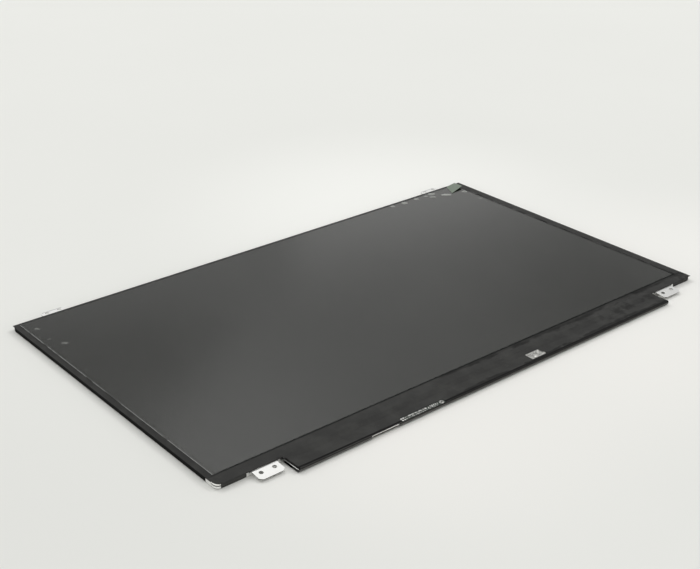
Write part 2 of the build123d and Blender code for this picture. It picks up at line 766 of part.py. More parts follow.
# Video connector: a moulded body, a row of contacts in it, and a sheet shell under it
video_low = board_edge_y
video_high = board_edge_y + video_depth
video_bottom_z = board_z - video_height
contact_z = board_z - video_roof - video_contact_thickness + video_contact_sunk
contact_top_z = contact_z + video_contact_thickness
contact_low = video_low + video_contact_set_back
contact_high = video_high + video_tail_length
body_half = video_half - video_shell_sheet
contact_x = [
    video_x + video_pitch * (i - (video_contact_count - 1) / 2) for i in range(video_contact_count)
]
with BuildPart() as video_connector_housing:
    body_bottom_z = video_bottom_z + video_shell_sheet
    block(video_x - body_half, video_x + body_half, video_low, video_high, body_bottom_z, board_z)
    cavity_half = body_half - video_end_wall
    block(
        video_x - cavity_half, video_x + cavity_half, video_low, video_high - video_rear_wall,
        body_bottom_z, board_z - video_roof, Mode.SUBTRACT,
    )
    for x in contact_x:
        block(
            x - video_contact_width / 2, x + video_contact_width / 2, contact_low, video_high,
            contact_z, contact_top_z, Mode.SUBTRACT,
        )
save(video_connector_housing, "video_connector_housing")

with BuildPart() as video_connector_contacts:
    for x in contact_x:
        sides = (x - video_contact_width / 2, x + video_contact_width / 2)
        block(*sides, contact_low, contact_high, contact_z, contact_top_z)
        block(*sides, contact_high - video_foot_length, contact_high, contact_z, board_z)
save(video_connector_contacts, "video_connector_contacts")

with BuildPart() as video_connector_shell:
    block(
        video_x - video_half, video_x + video_half, video_low, video_high,
        video_bottom_z, video_bottom_z + video_shell_sheet,
    )
    for side in (-1, 1):
        flap = sorted((video_x + side * body_half, video_x + side * video_half))
        block(*flap, video_low, video_high, video_bottom_z, board_z)
save(video_connector_shell, "video_connector_shell")

# Socket for the light bar's tail: a body with a slot, and a hinged latch shut over it
socket_half = tail_width / 2 + tail_socket_margin
socket_low = socket_top_y - tail_socket_depth
with BuildPart() as tail_connector_body:
    block(
        tail_x - socket_half, tail_x + socket_half, socket_low, socket_top_y,
        board_z - tail_socket_height, board_z,
    )
    slot_half = tail_width / 2 + tail_slot_clearance
    block(
        tail_x - slot_half, tail_x + slot_half,
        socket_top_y - tail_insertion - tail_slot_clearance, socket_top_y,
        tail_slot_z - tail_slot_clearance, tail_slot_z + reflector_thickness + tail_slot_clearance,
        Mode.SUBTRACT,
    )
    block(
        tail_x - socket_half, tail_x + socket_half, socket_low, socket_low + tail_latch_depth,
        board_z - tail_socket_height, board_z - tail_socket_height + tail_latch_height, Mode.SUBTRACT,
    )
save(tail_connector_body, "tail_connector_body")

with BuildPart() as tail_connector_latch:
    block(
        tail_x - socket_half, tail_x + socket_half, socket_low, socket_low + tail_latch_depth,
        board_z - tail_socket_height, board_z - tail_socket_height + tail_latch_height,
    )
save(tail_connector_latch, "tail_connector_latch")
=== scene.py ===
import json
import math
import bmesh
import bpy
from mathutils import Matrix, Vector, noise


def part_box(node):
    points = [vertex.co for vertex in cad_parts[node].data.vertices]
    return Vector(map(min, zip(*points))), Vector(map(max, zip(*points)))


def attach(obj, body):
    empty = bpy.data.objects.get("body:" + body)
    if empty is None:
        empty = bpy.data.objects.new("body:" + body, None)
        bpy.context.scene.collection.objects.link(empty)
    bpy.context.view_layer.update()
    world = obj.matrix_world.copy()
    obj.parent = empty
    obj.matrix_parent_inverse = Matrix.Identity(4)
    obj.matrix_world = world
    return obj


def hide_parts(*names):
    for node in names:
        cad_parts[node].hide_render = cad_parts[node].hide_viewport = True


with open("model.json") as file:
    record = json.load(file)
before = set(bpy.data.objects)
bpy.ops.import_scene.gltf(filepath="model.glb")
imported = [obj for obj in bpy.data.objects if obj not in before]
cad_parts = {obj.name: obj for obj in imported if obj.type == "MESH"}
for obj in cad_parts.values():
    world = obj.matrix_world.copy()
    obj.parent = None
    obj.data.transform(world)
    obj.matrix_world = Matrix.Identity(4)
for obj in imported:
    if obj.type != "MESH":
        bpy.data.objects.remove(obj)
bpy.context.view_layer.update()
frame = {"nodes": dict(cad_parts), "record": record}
mm = 0.001
print("frame loaded,", len(frame["nodes"]), "nodes")


class Wire:  # a shader socket that can be written into sums
    def __init__(self, tree, socket=None):
        self.tree = tree
        self.socket = socket

    def node(self, kind, settings=None, sockets=None, output=0):
        made = self.tree.nodes.new("ShaderNode" + kind)
        for name, value in (settings or {}).items():
            setattr(made, name, value)
        for name, value in (sockets or {}).items():
            target = made.inputs[name]
            if isinstance(value, Wire):
                self.tree.links.new(value.socket, target)
            elif target.type == "RGBA" and len(value) == 3:
                target.default_value = (*value, 1)
            else:
                target.default_value = value
        return Wire(self.tree, made.outputs[output] if made.outputs else None)

    def sum(self, operation, *terms):
        kinds = {x.socket.type if isinstance(x, Wire) else type(x) for x in terms}
        if kinds <= {"VALUE", int, float}:
            return self.node("Math", {"operation": operation}, dict(enumerate(terms)))
        spread = [(x, x, x) if isinstance(x, (int, float)) else x for x in terms]
        return self.node("VectorMath", {"operation": operation}, dict(enumerate(spread)))

    def __add__(self, other):
        return self.sum("ADD", self, other)

    def __radd__(self, other):
        return self.sum("ADD", other, self)

    def __sub__(self, other):
        return self.sum("SUBTRACT", self, other)

    def __rsub__(self, other):
        return self.sum("SUBTRACT", other, self)

    def __mul__(self, other):
        return self.sum("MULTIPLY", self, other)

    def __rmul__(self, other):
        return self.sum("MULTIPLY", other, self)

    def __truediv__(self, other):
        return self.sum("DIVIDE", self, other)

    def __pow__(self, other):
        return self.sum("POWER", self, other)

    def __mod__(self, other):
        return self.sum("FLOORED_MODULO", self, other)

    def __abs__(self):
        return self.sum("ABSOLUTE", self)

    def __gt__(self, other):
        return self.sum("GREATER_THAN", self, other)

    def __lt__(self, other):
        return self.sum("LESS_THAN", self, other)

    def part(self, axis):  # one number of a vector
        return self.node("SeparateXYZ", {}, {0: self}, "XYZ".index(axis))

    def rise(self, low, high):  # 0 below low, 1 above high, soft between
        settings = {"interpolation_type": "SMOOTHSTEP"}
        return self.node("MapRange", settings, {0: self, 1: low, 2: high, 3: 0.0, 4: 1.0})

    def band(self, low, lowFull, highFull, high):  # 1 between the two middle values, 0 outside
        return self.rise(low, lowFull) * (1 - self.rise(highFull, high))

    def fade(self, first, second):  # self is how much of the second colour shows
        return self.node("Mix", {"data_type": "RGBA"}, {0: self, 6: first, 7: second}, 2)

    def grain(self, scale, detail=2.0, rough=0.5):  # noise around 0.5; self is the place in mm
        sockets = {"Vector": self, "Scale": scale, "Detail": detail, "Roughness": rough}
        return self.node("TexNoise", {}, sockets)

    def dots(self, scale, size):  # scattered round specks, 1 inside; self is the place in mm
        far = self.node("TexVoronoi", {}, {"Vector": self, "Scale": scale})
        pick = self.node("TexVoronoi", {}, {"Vector": self, "Scale": scale}, 1).part("X")
        return (1 - (far / scale).rise(size * 0.6, size)) * (pick > 0.55)

    def bump(self, depth):  # self is a height from 0 to 1, depth in mm
        return self.node("Bump", {}, {"Height": self, "Distance": depth * mm, "Strength": 1.0})


def tone(red, green, blue):  # screen colour, 0 to 255, as light
    share = [x / 255 for x in (red, green, blue)]
    return tuple(x / 12.92 if x <= 0.04045 else ((x + 0.055) / 1.055) ** 2.4 for x in share)


def makeMaterial(name, paint, plain=None):
    made = bpy.data.materials.new(name)
    made.use_nodes = True
    made.node_tree.nodes.clear()
    start = Wire(made.node_tree)
    place = start.node("TexCoord", {}, {}, 3) * 1000
    shader = start.node("BsdfPrincipled", {}, {**(plain or {}), **paint(start, place)})
    start.node("OutputMaterial", {}, {"Surface": shader})
    return made


# Camera

view = {
    "azimuth": -39.65,  # degrees, 0 looks along +Y
    "elevation": 25.795,
    "distance": 0.80102,
    "target": (0.01055, 0.03089, 0.0),
    "lens": 65.83,
}


def placeCamera():
    turn = math.radians(view["azimuth"])
    lift = math.radians(view["elevation"])
    back = Vector((math.sin(turn) * math.cos(lift), -math.cos(turn) * math.cos(lift), math.sin(lift)))
    camera = bpy.data.objects.new("camera", bpy.data.cameras.new("camera"))
    camera.data.lens = view["lens"]
    camera.data.sensor_width = 36
    camera.data.sensor_fit = "HORIZONTAL"
    camera.location = Vector(view["target"]) + back * view["distance"]
    camera.rotation_euler = (-back).to_track_quat("-Z", "Y").to_euler()
    bpy.context.scene.collection.objects.link(camera)
    bpy.context.scene.camera = camera


placeCamera()
bpy.context.scene.view_settings.view_transform = "Standard"
print("camera placed")

# Floor and studio light

floorLook = {
    "half": 30.0,  # m
    "below": 0.05 * mm,
    "colour": (0.821, 0.825, 0.798),
    "patch": (0.813, 0.817, 0.790),
    "near": (0.810, 0.814, 0.788),  # painted shade: a little darker towards the camera
    "nearReach": (-20.0, -260.0),  # mm along Y
    "paintedLightPools": (  # painted pools of light and shade on the table: colour, place in mm, reach in mm
        ((0.780, 0.784, 0.758), (-330.0, -100.0), (40.0, 330.0)),
        ((0.866, 0.858, 0.830), (-60.0, -120.0), (10.0, 150.0)),
        ((0.870, 0.862, 0.834), (75.0, -125.0), (10.0, 145.0)),
        ((0.876, 0.872, 0.845), (195.0, -70.0), (20.0, 150.0)),
        ((0.905, 0.907, 0.880), (110.0, 112.0), (20.0, 200.0)),
    ),
}
studio = {
    "room": 0.80,  # level of the room behind the panel
    "front": 0.30,  # share of that level on the camera's side
    "middle": 50.0,  # heading of the middle of the lit side, degrees from +X
    "horizon": 0.10,  # added near the horizon
    "horizonHeights": (8, 19),  # degrees up
    "ceiling": 0.12,  # added overhead
    "ceilingHeights": (36, 52),
    "overhead": 0.85,  # share left overhead on the camera's side
    "overheadHeights": (40, 80),
    "card": 1.7,  # low pale card on the camera's side
    "cardHeights": (14, 26),
    # patches of light and shade: level, headings and heights in degrees
    "darkSide": (-0.42, (-40, -10, 34, 48), (18, 25, 26, 33)),  # right of the screen's mirror image
    "dip": (-0.08, (-181, -180, 53, 57), (22, 24.5, 27, 31)),  # between the wall and the window
    "window": (0.58, (46, 56, 70, 90), (27, 34, 40, 48)),  # bright panel high on the left
    "glow": (0.30, (32, 40, 58, 68), (37, 41, 49, 56)),  # above what the screen mirrors
    "darkLeft": (0.10, 0.45),  # taken away left of the screen's mirror image, below a slanting edge
    "darkLeftHeights": (14, 20, 33, 36),
    "wall": 0.36,  # bright wall low behind the far corner
    "wallHeadings": (36, 46, 52, 54),
    "lamps": (  # name, power, place
        ("sideBox", 92.0, (5.43, -0.96, 4.31)),
        ("rearBox", 92.0, (-0.20, 5.20, 4.68)),
    ),
    "lampSize": 2.1,
}


def makeFloor():
    half = floorLook["half"]
    mesh = bpy.data.meshes.new("floor")
    corners = [(-half, -half), (half, -half), (half, half), (-half, half)]
    mesh.from_pydata([(x, y, -floorLook["below"]) for x, y in corners], [], [(0, 1, 2, 3)])
    floor = bpy.data.objects.new("floor", mesh)
    bpy.context.scene.collection.objects.link(floor)

    def paint(start, place):
        cloud = place.grain(0.004, 3.0).rise(0.3, 0.7)
        # painted shade on the table, darker towards the camera
        begins, full = floorLook["nearReach"]
        near = 1 - place.part("Y").rise(full, begins)
        colour = near.fade(cloud.fade(floorLook["colour"], floorLook["patch"]), floorLook["near"])
        # painted pools of light and shade on the table
        for tint, (middleX, middleY), reach in floorLook["paintedLightPools"]:
            across = place.part("X") - middleX
            along = place.part("Y") - middleY
            pool = 1 - ((across * across + along * along) ** 0.5).rise(*reach)
            colour = pool.fade(colour, tint)
        return {"Base Color": colour}

    mesh.materials.append(makeMaterial("paleTable", paint, {"Roughness": 0.95, "Specular IOR Level": 0.0}))


def makeStudio():
    world = bpy.data.worlds.new("studio")
    world.use_nodes = True
    world.node_tree.nodes.clear()
    bpy.context.scene.world = world
    start = Wire(world.node_tree)
    way = start.node("TexCoord", {}, {}, 0)  # which way the light comes from
    degree = 180 / math.pi
    heading = start.sum("ARCTAN2", way.part("Y"), way.part("X")) * degree
    height = start.sum("ARCSINE", way.part("Z")) * degree

    def patch(name):
        strength, headings, heights = studio[name]
        return strength * heading.band(*headings) * height.band(*heights)

    room = studio["room"] + studio["horizon"] * (1 - height.rise(*studio["horizonHeights"]))
    room = room + studio["ceiling"] * height.rise(*studio["ceilingHeights"])
    dark = patch("darkSide") * (0.64 + 0.36 * heading.rise(35, 40))
    slant = heading - 53 - 0.95 * (height - 24)
    shade = slant.rise(-1.8, 1.4) * (1 - heading.rise(70, 85))
    shade = shade * height.band(*studio["darkLeftHeights"])
    least, most = studio["darkLeft"]
    shade = shade * (least + (most - least) * height.rise(25.5, 29))
    wall = heading.band(*studio["wallHeadings"])
    wall = wall * height.rise(12, 17) * (1 - (height - 0.32 * (heading - 46)).rise(21.2, 24.4))
    level = room + dark - shade + patch("dip")
    level = level + studio["wall"] * wall + patch("window") + patch("glow")
    facing = start.sum("COSINE", (heading - studio["middle"]) / degree).rise(-0.6, 0.4)
    front = studio["front"] + (studio["overhead"] - studio["front"]) * height.rise(*studio["overheadHeights"])
    level = level * (front + (1 - front) * facing)
    level = level + studio["card"] * (1 - facing) * (1 - height.rise(*studio["cardHeights"]))
    light = start.node("Background", {}, {"Color": (1.0, 1.0, 0.985), "Strength": level})
    start.node("OutputWorld", {}, {"Surface": light})
    for name, power, place in studio["lamps"]:
        lamp = bpy.data.objects.new(name, bpy.data.lights.new(name, "AREA"))
        lamp.data.energy = power
        lamp.data.size = studio["lampSize"]
        lamp.location = place
        lamp.rotation_euler = (-lamp.location).to_track_quat("-Z", "Y").to_euler()
        bpy.context.scene.collection.objects.link(lamp)


makeFloor()
makeStudio()
print("floor and light made")

# Finishes

metalLook = {
    "bright": (0.84, 0.84, 0.83),
    "dull": (0.73, 0.73, 0.72),
    "speck": (0.25, 0.25, 0.24),
    "cut": (0.05, 0.05, 0.048),  # duller sheared metal on the tabs' edges and hole walls, darkened further as painted shade, and painted shade at the bend under the walls
    # painted shade along the back rim of the upper tabs
    "rimShade": (0.50, 0.50, 0.49),
    "wall": (0.97, 0.97, 0.96),  # painted light: the upright walls at the bare corner made brighter
    "bendTop": 0.4,  # mm above the table, top of the painted shade at the bend under the walls
    "scratch": 0.004,
}


def paintRolledMetal(start, place):
    rolled = place * (0.02, 1.0, 1.0)  # along the long side
    streaks = rolled.grain(2.5, 4.0, 0.7)
    smudge = place.grain(0.03, 3.0).rise(0.45, 0.7)
    clean = (streaks * 0.6 + smudge * 0.4).fade(metalLook["bright"], metalLook["dull"])
    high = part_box("rear_tray")[1].y / mm
    wallLow, wallHigh = (corner.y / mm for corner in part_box("mould_frame"))
    level = abs(start.node("NewGeometry", {}, {}, 1).part("Z"))
    along = place.part("Y")
    onTab = 1 - along.rise(wallLow - 0.8, wallLow - 0.4) + along.rise(wallHigh + 0.4, wallHigh + 0.8)
    # painted shade at the bottom bend of the walls, off the tabs
    bend = (1 - place.part("Z").rise(metalLook["bendTop"] - 0.2, metalLook["bendTop"])) * (1 - onTab)
    # painted shade along the back rim of the upper tabs
    rimShade = along.rise(high - 1.1, high - 0.6)
    # dirt specks, over the painted shade of the rim
    worn = (0.6 * place.dots(0.45, 0.20)).fade(rimShade.fade(clean, metalLook["rimShade"]), metalLook["speck"])
    upright = 1 - level.rise(0.4, 0.8)
    # painted light: the upright walls off the tabs made brighter
    walls = (upright * (1 - onTab)).fade(worn, metalLook["wall"])
    return {
        # painted shade: the tabs' edges and the bend under the walls near black
        "Base Color": (upright * (onTab + bend)).fade(walls, metalLook["cut"]),
        "Roughness": 0.24 + streaks * 0.10 + smudge * 0.10,
        "Normal": streaks.bump(metalLook["scratch"]),
    }


plasticLook = {
    "clean": tone(249, 249, 247),
    "warm": tone(242, 241, 237),
    # painted shade in the groove round the corners
    "gap": (0.012, 0.012, 0.011),
    "gapLevels": (1.42, 2.04),  # mm above the table, where the groove round the corners gets painted shade
    "grain": 0.006,
}


def paintWhitePlastic(start, place):
    cloud = place.grain(0.25, 3.0)
    low, high = plasticLook["gapLevels"]
    # painted shade in the groove round the corners
    gap = place.part("Z").band(low - 0.05, low + 0.05, high - 0.05, high + 0.05)
    clean = cloud.rise(0.35, 0.7).fade(plasticLook["clean"], plasticLook["warm"])
    return {
        "Base Color": (0.95 * gap).fade(clean, plasticLook["gap"]),
        "Roughness": 0.42 + 0.15 * cloud,
        "Normal": place.grain(6.0, 2.0).bump(plasticLook["grain"]),
    }


tapeLook = {
    "black": (0.024, 0.024, 0.023),
    "worn": (0.040, 0.040, 0.038),
    "dust": (0.30, 0.29, 0.27),
    # painted shade on the tape's side, below its top
    "skirt": (0.005, 0.005, 0.005),
    "skirtTop": 2.75,  # mm above the table, top of the painted shade on the side
}


def paintBlackTape(start, place):
    cloud = place.grain(0.12, 4.0, 0.6)
    dust = place.dots(0.35, 0.22) * place.grain(0.05, 1.0).rise(0.5, 0.6)
    # painted shade on the tape's side, below its top
    skirt = 1 - place.part("Z").rise(tapeLook["skirtTop"] - 0.1, tapeLook["skirtTop"])
    black = cloud.rise(0.4, 0.75).fade(tapeLook["black"], tapeLook["worn"])
    black = skirt.fade((dust * 0.7).fade(black, tapeLook["dust"]), tapeLook["skirt"])
    return {
        "Base Color": black,
        "Roughness": 0.36 + 0.18 * cloud + 0.3 * dust + 0.3 * skirt,
        "Normal": (place.grain(2.2, 3.0) + 2.0 * place.grain(0.15, 1.0)).bump(0.012),
    }


coverLook = {
    "black": (0.035, 0.035, 0.034),
    "grey": (0.049, 0.049, 0.047),
    "scuff": (0.13, 0.13, 0.12),
    # painted shade, nearly black: the dark lines along the strip, its front fold and the bottoms of the lips
    "fold": (0.004, 0.004, 0.004),
    # painted shade on the upper part of the strip's front fold, lighter than the fold's black where the curve
    # catches light
    "bend": (0.020, 0.020, 0.019),
    "skirt": (0.048, 0.048, 0.046),
    "foldTop": 2.2,  # mm above the table
    # painted light: the lower part of the strip's front, where it catches light from the table
    "frontSkirt": (0.11, 0.11, 0.105),
    "foldShade": (1.45, 1.75),  # dark above, on the strip's front
    "frontShade": (0.3, 0.6, 1.3, 1.9),  # dark line along the top edge, mm back from the strip's front
    "endShade": (0.7, 1.2),  # the same at the strip's left end
    "stripDepth": 12.0,
    "lipShade": (0.5, 0.75),  # dark below, on the lips under the corners
    # painted shade along the edge next to the screen
    "screenSideShade": (0.003, 0.003, 0.003),
}


def paintCoverFilm(start, place):
    cloud = place.grain(0.09, 4.0, 0.6)
    wisps = (place * (0.35, 1.0, 1.0)).grain(0.9, 5.0, 0.65).rise(0.60, 0.78)
    across = place.part("X")
    scuff = wisps * (place.grain(0.035, 2.0).rise(0.52, 0.66) + 0.7 * across.rise(164, 172))
    specks = place.dots(0.5, 0.16)
    level = place.part("Z")
    front, back = (corner.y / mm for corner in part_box("board_cover_film"))
    fold = 1 - level.rise(coverLook["foldTop"] - 0.2, coverLook["foldTop"])
    ahead = place.part("Y") - front
    lip = ahead.rise(5, 6)
    skirt = lip * level.rise(*coverLook["lipShade"]) + (1 - lip) * (1 - level.rise(*coverLook["foldShade"]))
    skirt = skirt * (0.55 + 0.8 * (place * (0.3, 1.0, 1.0)).grain(0.9, 4.0, 0.6))
    patchy = (place * (0.4, 1.0, 1.0)).grain(0.22, 4.0, 0.6).rise(0.38, 0.68)
    wide = 0.35 + across.rise(-60, 40) * (2.1 + 3.0 * patchy)
    inward = back - place.part("Y")
    # painted shade along the edge next to the screen, wider and patchier towards the right
    screenSideShade = (1 - (inward / wide).rise(0.5, 1.2)) * (0.25 + 0.40 * patchy)
    narrow = (1 - inward.rise(0.3, 0.8)) * (0.45 + 0.3 * across.rise(-60, 40) + 0.25 * patchy)
    screenSideShade = start.sum("MAXIMUM", screenSideShade, narrow)
    # painted shade along the strip's front edge, wider towards the right, and at its left end
    line = ahead.band(*coverLook["frontShade"])
    broad = (1 - (ahead / (1.8 + 3.6 * patchy)).rise(0.6, 1.0)) * across.rise(-70, -20)
    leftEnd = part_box("control_board")[0].x / mm
    end = across.rise(leftEnd - 2, leftEnd - 1) * (1 - (across - leftEnd).rise(*coverLook["endShade"]))
    end = end * (1 - ahead.rise(coverLook["stripDepth"] - 1, coverLook["stripDepth"]))
    shaded = start.sum("MAXIMUM", start.sum("MAXIMUM", line, end), 0.6 * broad) * (1 - fold)
    dim = place.grain(0.13, 4.0, 0.6).rise(0.48, 0.68) * across.rise(40, 130)
    black = cloud.rise(0.35, 0.7).fade(coverLook["black"], coverLook["grey"])
    marked = (0.45 * scuff + 0.5 * specks).fade(black, coverLook["scuff"])
    marked = (0.55 * dim).fade(shaded.fade(marked, coverLook["fold"]), coverLook["fold"])
    # fold zone: painted shade on the upper front of the strip and the bottoms of the lips, painted light on
    # the lower front of the strip
    hollow = lip.fade(coverLook["bend"], coverLook["fold"])
    bent = skirt.fade(hollow, lip.fade(coverLook["frontSkirt"], coverLook["skirt"]))
    return {
        "Base Color": screenSideShade.fade(fold.fade(marked, bent), coverLook["screenSideShade"]),
        "Roughness": 0.38 + 0.16 * cloud + 0.2 * scuff + 0.3 * fold + 0.2 * screenSideShade,
        "Normal": (place.grain(1.6, 3.0) + 1.5 * place.grain(0.2, 2.0)).bump(0.02),
    }


filmLook = {
    "clear": (0.021, 0.022, 0.019),
    # painted reflection that whitens the bubbles, also the colour of dust specks
    "sheenAndSpeckWhite": (0.39, 0.40, 0.38),
    # the film's left edge: its pale cut edge, with a painted highlight
    "paleEdgeAndHighlight": (0.32, 0.33, 0.32),
    "shaded": (0.006, 0.006, 0.006),
    "screenLeft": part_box("front_polariser")[0].x / mm,  # the film lies on tape to the left of it
}


def paintClearFilm(start, place):
    # the lift attribute holds the bubbles' painted reflection
    lift = start.node("Attribute", {"attribute_name": "lift"}, {}, 2)
    edge = start.node("Attribute", {"attribute_name": "edge"}, {}, 2)
    shaded = start.node("Attribute", {"attribute_name": "shaded"}, {}, 2)
    upper = start.node("Attribute", {"attribute_name": "upper"}, {}, 2)
    taped = 1 - place.part("X").rise(filmLook["screenLeft"] - 0.3, filmLook["screenLeft"] + 0.1)
    specks = place.dots(0.12, 0.28) * place.grain(0.02, 1.0).rise(0.5, 0.62)
    # painted reflection on the bubbles, and pale dust specks
    clear = (lift.rise(0.0, 0.12) + 0.25 * specks).fade(filmLook["clear"], filmLook["sheenAndSpeckWhite"])
    # the film's left edge: its pale cut edge, with a painted highlight
    clear = edge.rise(0.0, 0.15).fade(clear, filmLook["paleEdgeAndHighlight"])
    return {
        "Base Color": shaded.fade(clear, filmLook["shaded"]),
        "Roughness": 0.3 + 0.25 * specks + 0.4 * edge + 0.3 * lift,
        "Coat Weight": taped * (1 - edge) + 0.4 * lift,
        "Alpha": upper * (0.04 + 0.9 * taped + 0.85 * lift + 0.8 * edge + 0.6 * shaded + 0.3 * specks),
        "Normal": place.grain(0.08, 2.0).bump(0.010),
    }


pullLook = {"green": tone(84, 101, 82), "pale": tone(116, 125, 113)}


def paintPullFilm(start, place):
    cloud = place.grain(0.3, 3.0)
    creases = (place * (1.0, 0.3, 1.0)).grain(1.4, 3.0).rise(0.55, 0.7)
    return {
        "Base Color": (0.6 * cloud + 0.4 * creases).fade(pullLook["green"], pullLook["pale"]),
        "Roughness": 0.30 + 0.2 * cloud,
        "Normal": (cloud + creases).bump(0.02),
    }


def paintPolariser(start, place):
    haze = place.grain(0.03, 3.0)
    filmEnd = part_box("protective_film")[1].x / mm
    bare = place.part("X").rise(filmEnd - 0.2, filmEnd + 0.3)  # matte where no film lies on it
    return {
        "Base Color": haze.fade((0.013, 0.014, 0.012), (0.018, 0.019, 0.016)),
        "Roughness": 0.10 + 0.05 * haze + 0.15 * bare,
    }


def paintCellGlass(start, place):
    haze = place.grain(0.08, 2.0)
    return {
        "Base Color": haze.fade((0.004, 0.006, 0.005), (0.008, 0.011, 0.010)),
        "Roughness": 0.06 + 0.06 * haze,
    }


def paintWhiteSheet(start, place):
    cloud = place.grain(0.2, 4.0)
    return {
        "Base Color": cloud.fade(tone(240, 241, 240), tone(228, 230, 230)),
        "Roughness": 0.45 + 0.2 * cloud,
        "Normal": place.grain(5.0, 2.0).bump(0.004),
    }


def paintLightGuide(start, place):
    pitch = 1.2  # of the printed dots
    across = place.part("X") % pitch - pitch / 2
    along = place.part("Y") % pitch - pitch / 2
    spot = 1 - ((across * across + along * along) ** 0.5).rise(0.25, 0.32)
    return {
        "Base Color": spot.fade(tone(226, 234, 236), tone(246, 247, 247)),
        "Roughness": 0.06 + 0.5 * spot,
    }


flexLook = {"amber": (0.34, 0.13, 0.025), "copper": (0.52, 0.22, 0.06), "pitch": 0.8}


def paintFlexFilm(start, place):
    lane = place.part("X") % flexLook["pitch"] - flexLook["pitch"] / 2
    copper = 1 - abs(lane).rise(0.16, 0.22)
    cloud = place.grain(0.3, 3.0)
    base = copper.fade(flexLook["amber"], flexLook["copper"])
    return {
        "Base Color": (0.3 * cloud).fade(base, (0.2, 0.08, 0.02)),
        "Roughness": 0.28 + 0.15 * cloud,
        "Normal": copper.bump(0.012),
    }


def paintEmitter(start, place):
    low, high = (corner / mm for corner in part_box("light_emitters"))
    front = place.part("Y").rise(high.y - 0.35, high.y - 0.25)
    cloud = place.grain(1.5, 2.0)
    return {
        "Base Color": front.fade(tone(238, 238, 234), tone(232, 205, 92)),
        "Roughness": 0.4 + 0.2 * cloud,
    }


boardLook = {
    "mask": (0.007, 0.014, 0.010),
    "trace": (0.011, 0.022, 0.015),
    "laminate": tone(248, 248, 248),
    "stain": tone(208, 208, 206),
    # painted shade: the upper layer of the board's edge made dark
    "copper": (0.02, 0.02, 0.018),
    "edgeShadeLevel": 2.30,  # mm above the table, painted shade on the edge above it
    "endLevel": 2.12,  # the same at the left end
    "endPlace": -136.0,  # mm
    "endDim": (-109.0, -106.0),  # duller towards the back
}


def paintBoard(start, place):
    face = abs(start.node("NewGeometry", {}, {}, 1).part("Z")).rise(0.4, 0.6)
    sockets = {"Vector": place * (0.4, 1.0, 0.0), "Scale": 0.8}
    lanes = start.node("TexVoronoi", {"distance": "MANHATTAN", "feature": "F2"}, sockets).rise(0.5, 0.62)
    cloud = place.grain(0.8, 3.0)
    mask = (0.8 * lanes).fade(boardLook["mask"], boardLook["trace"])
    atEnd = place.part("X") < boardLook["endPlace"]
    level = boardLook["edgeShadeLevel"] + atEnd * (boardLook["endLevel"] - boardLook["edgeShadeLevel"])
    # painted shade on the upper layer of the board's edge, lower at the left end
    layer = (place.part("Z") - level).rise(-0.06, 0.06)
    dim = atEnd * place.part("Y").rise(*boardLook["endDim"])
    edge = (0.25 * cloud).fade(boardLook["laminate"], boardLook["stain"])
    edge = start.sum("MAXIMUM", layer, 0.7 * dim).fade(edge, boardLook["copper"])
    return {
        "Base Color": face.fade(edge, mask),
        "Roughness": 0.62 - 0.3 * face + 0.1 * cloud,
        "Normal": (lanes * face).bump(0.02),
    }


def paintTin(start, place):
    cloud = place.grain(0.7, 3.0)
    return {
        "Base Color": cloud.rise(0.42, 0.58).fade((0.90, 0.90, 0.88), (0.24, 0.24, 0.23)),
        "Roughness": 0.22 + 0.25 * cloud,
        "Normal": place.grain(2.0, 2.0).bump(0.03),
    }


stickerLook = {
    "paper": tone(212, 212, 208),
    "worn": tone(138, 138, 134),
    "print": tone(104, 104, 101),
    "white": tone(244, 244, 240),
    "whitePlace": (3.6, 1.4),  # mm from the lower left corner
    "pitch": 0.75,
    "margin": 0.5,
}


def paintSticker(start, place):
    low, high = (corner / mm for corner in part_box("board_sticker"))
    across = place.part("Y") - low.y
    along = place.part("X") - low.x
    margin = stickerLook["margin"]
    inside = along.rise(margin, margin + 0.1) * across.rise(margin, margin + 0.1)
    inside = inside * (1 - across.rise(high.y - low.y - margin, high.y - low.y - margin + 0.1))
    settings = {"Vector": place, "Scale": 1 / stickerLook["pitch"], "Randomness": 0.1}
    cells = place.node("TexVoronoi", {"distance": "CHEBYCHEV"}, settings, 1).part("X")
    ink = inside * cells.rise(0.42, 0.5) * place.grain(0.5, 2.0).rise(0.25, 0.5)
    fibre = place.grain(4.0, 4.0)
    paper = place.grain(1.3, 4.0, 0.7).rise(0.35, 0.65).fade(stickerLook["paper"], stickerLook["worn"])
    aside = along - stickerLook["whitePlace"][0]
    above = across - stickerLook["whitePlace"][1]
    bright = 1 - ((aside * aside + above * above) ** 0.5).rise(0.4, 0.9)
    return {
        "Base Color": bright.fade((0.75 * ink).fade(paper, stickerLook["print"]), stickerLook["white"]),
        "Roughness": 0.55 + 0.15 * fibre,
        "Normal": fibre.bump(0.01),
    }


def paintMoulded(dark, light, grain):  # black epoxy, ferrite and connector plastic
    def paint(start, place):
        cloud = place.grain(1.0, 3.0)
        return {
            "Base Color": cloud.fade(dark, light),
            "Roughness": 0.48 + 0.2 * cloud,
            "Normal": place.grain(8.0, 2.0).bump(grain),
        }
    return paint


def paintCeramic(start, place):
    cloud = place.grain(1.5, 3.0)
    return {
        "Base Color": cloud.fade(tone(176, 146, 112), tone(196, 168, 136)),
        "Roughness": 0.35 + 0.2 * cloud,
        "Normal": cloud.bump(0.01),
    }


def paintShell(start, place):
    streaks = (place * (0.1, 1.0, 1.0)).grain(4.0, 3.0)
    return {
        "Base Color": streaks.fade((0.72, 0.71, 0.69), (0.60, 0.59, 0.57)),
        "Roughness": 0.22 + 0.2 * streaks,
        "Normal": streaks.bump(0.004),
    }


